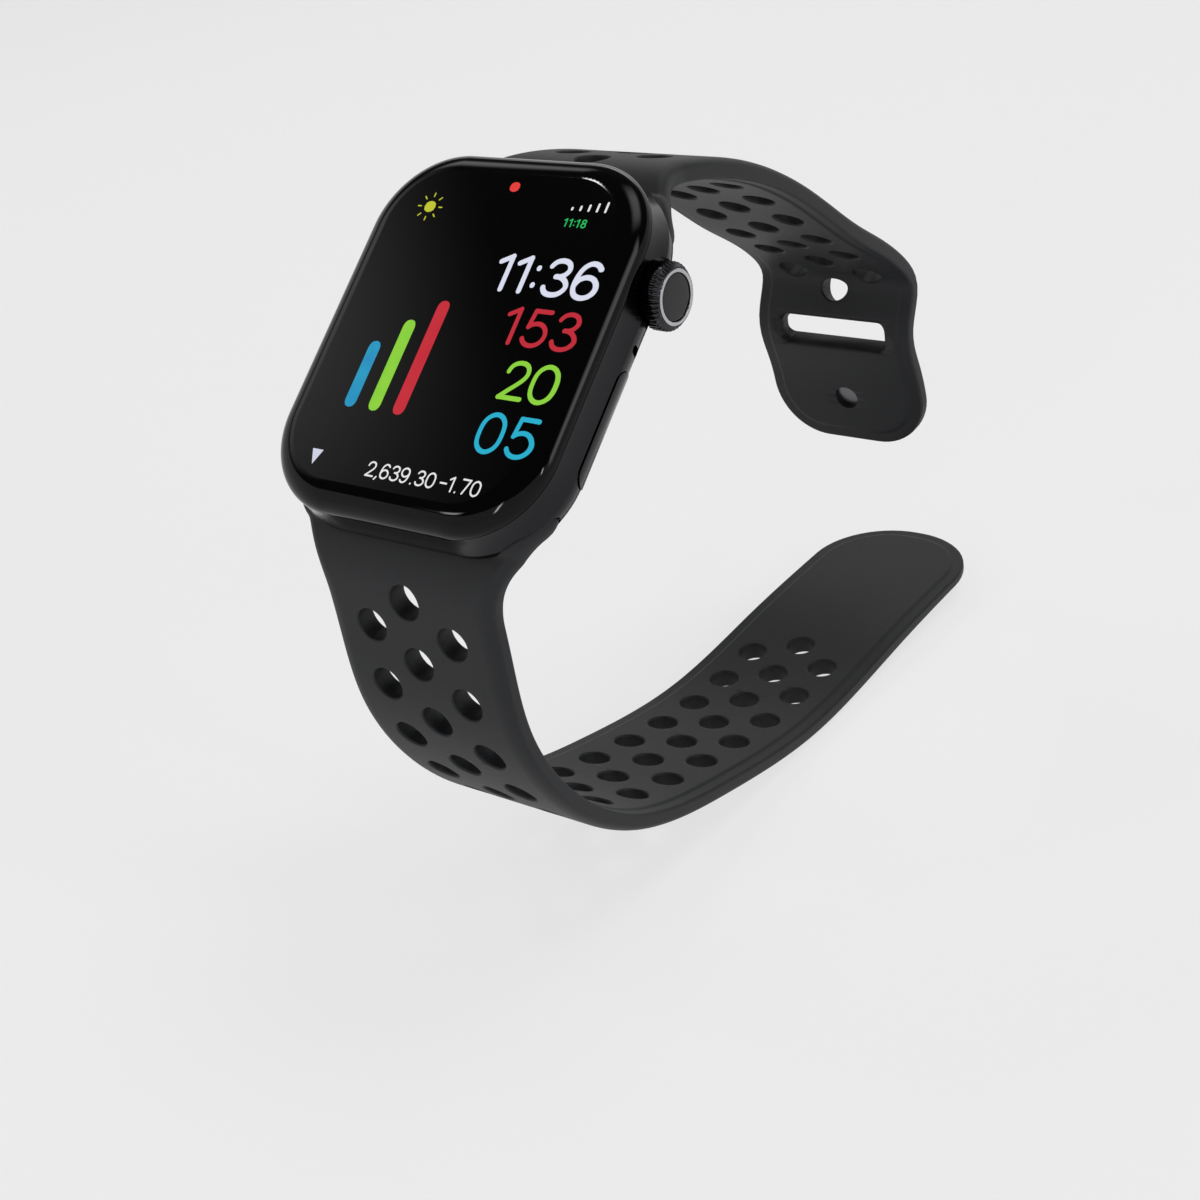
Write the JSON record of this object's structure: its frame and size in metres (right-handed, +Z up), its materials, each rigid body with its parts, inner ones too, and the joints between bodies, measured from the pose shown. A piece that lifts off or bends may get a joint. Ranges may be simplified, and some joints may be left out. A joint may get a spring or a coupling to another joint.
{
  "type": "smartwatch",
  "caption": "Smartwatch with a curved-glass display, turning side crown, side button and perforated rubber strap, held as on a tilted charging stand.",
  "frame": {"origin": "Apex of the domed back crystal, where a charging stand or a wrist carries the watch.", "axes": "+X across the watch towards the crown, +Z up, +Y horizontal away from the display; the display leans back with its normal 50 degrees above the horizontal, towards -Y."},
  "size_m": [0.0401, 0.1128, 0.087],
  "materials": {
    "case_alloy": "glossy dark anodised aluminium",
    "cover_glass": "polished glass over a black display",
    "back_ceramic": "polished dark ceramic",
    "back_glass": "polished tinted sapphire",
    "strap_rubber": "matte fluoroelastomer",
    "crown_metal": "polished dark anodised aluminium",
    "crown_ring_metal": "satin grey steel",
    "crown_face": "smooth dark sapphire",
    "stud_metal": "satin grey anodised aluminium",
    "steel": "bare stainless steel",
    "seal_rubber": "black silicone",
    "board": "solder-masked circuit board",
    "package": "black moulded resin",
    "battery_pouch": "laminated aluminium pouch",
    "panel_face": "display panel",
    "copper": "enamelled copper wire",
    "ferrite": "sintered ferrite sheet",
    "flex": "polyimide film",
    "mesh": "black woven acoustic mesh",
    "tungsten": "sintered heavy alloy",
    "led_resin": "clear resin over green chips"
  },
  "bodies": {
    "case": {"case_shell": "case_alloy", "front_crystal": "cover_glass", "display_gasket": "seal_rubber", "display_panel": "panel_face", "light_sensor": "package", "back_cover": "back_ceramic", "back_crystal": "back_glass", "sensor_leds": "led_resin", "sensor_photodiodes": "package", "sensor_board": "board", "charging_coil": "copper", "coil_ferrite": "ferrite", "inner_frame": "steel", "frame_screws": "steel", "battery": "battery_pouch", "main_board": "board", "system_package": "package", "display_flex": "flex", "haptic_housing": "steel", "speaker_mesh": "mesh", "speaker_module": "package", "microphone": "steel", "crown_sleeve": "steel", "crown_bracket": "steel", "crown_sensor": "package", "crown_switch": "steel", "button_bracket": "steel", "button_switch": "steel"},
    "crown_slide": {"crown_carriage": "steel"},
    "crown": {"crown_shaft": "steel", "crown_seal": "seal_rubber", "crown_knob": "crown_metal", "crown_ring": "crown_ring_metal", "crown_disc": "crown_face", "crown_encoder": "package"},
    "side_button": {"side_button": "case_alloy"},
    "upper_release": {"upper_release_button": "case_alloy"},
    "lower_release": {"lower_release_button": "case_alloy"},
    "upper_strap": {"strap_upper": "strap_rubber", "closure_stud": "stud_metal"},
    "lower_strap": {"strap_lower": "strap_rubber"},
    "upper_latch": {"upper_lug_latch": "steel"},
    "lower_latch": {"lower_lug_latch": "steel"},
    "haptic_mass": {"haptic_mass": "tungsten"}
  },
  "joints": [
    {"name": "crown_press", "type": "slide", "parent": "case", "child": "crown_slide", "axis": [-1, 0, 0], "range_m": [0, 0.0003], "stiffness_N_per_m": 1500, "springref_m": -0.00012},
    {"name": "crown_turn", "type": "hinge", "parent": "crown_slide", "child": "crown", "pos_m": [0.0185, 0.00515, 0.00942], "axis": [1, 0, 0], "continuous": true},
    {"name": "side_button_press", "type": "slide", "parent": "case", "child": "side_button", "axis": [-1, 0, 0], "range_m": [0, 0.00025], "stiffness_N_per_m": 1500, "springref_m": -0.0001},
    {"name": "upper_release_press", "type": "slide", "parent": "case", "child": "upper_release", "axis": [0, -0.6428, 0.766], "range_m": [0, 0.0005], "stiffness_N_per_m": 800, "springref_m": -0.0002},
    {"name": "lower_release_press", "type": "slide", "parent": "case", "child": "lower_release", "axis": [0, -0.6428, 0.766], "range_m": [0, 0.0005], "stiffness_N_per_m": 800, "springref_m": -0.0002},
    {"name": "upper_strap_slide", "type": "slide", "parent": "case", "child": "upper_strap", "axis": [1, 0, 0], "range_m": [-0.036, 0.036]},
    {"name": "lower_strap_slide", "type": "slide", "parent": "case", "child": "lower_strap", "axis": [1, 0, 0], "range_m": [-0.036, 0.036]},
    {"name": "upper_latch_travel", "type": "slide", "parent": "upper_strap", "child": "upper_latch", "axis": [0, -0.6428, 0.766], "range_m": [0, 0.0005], "stiffness_N_per_m": 400, "springref_m": -0.0002},
    {"name": "lower_latch_travel", "type": "slide", "parent": "lower_strap", "child": "lower_latch", "axis": [0, -0.6428, 0.766], "range_m": [0, 0.0005], "stiffness_N_per_m": 400, "springref_m": -0.0002},
    {"name": "haptic_shake", "type": "slide", "parent": "case", "child": "haptic_mass", "axis": [1, 0, 0], "range_m": [-0.0012, 0.0012], "stiffness_N_per_m": 1500}
  ]
}
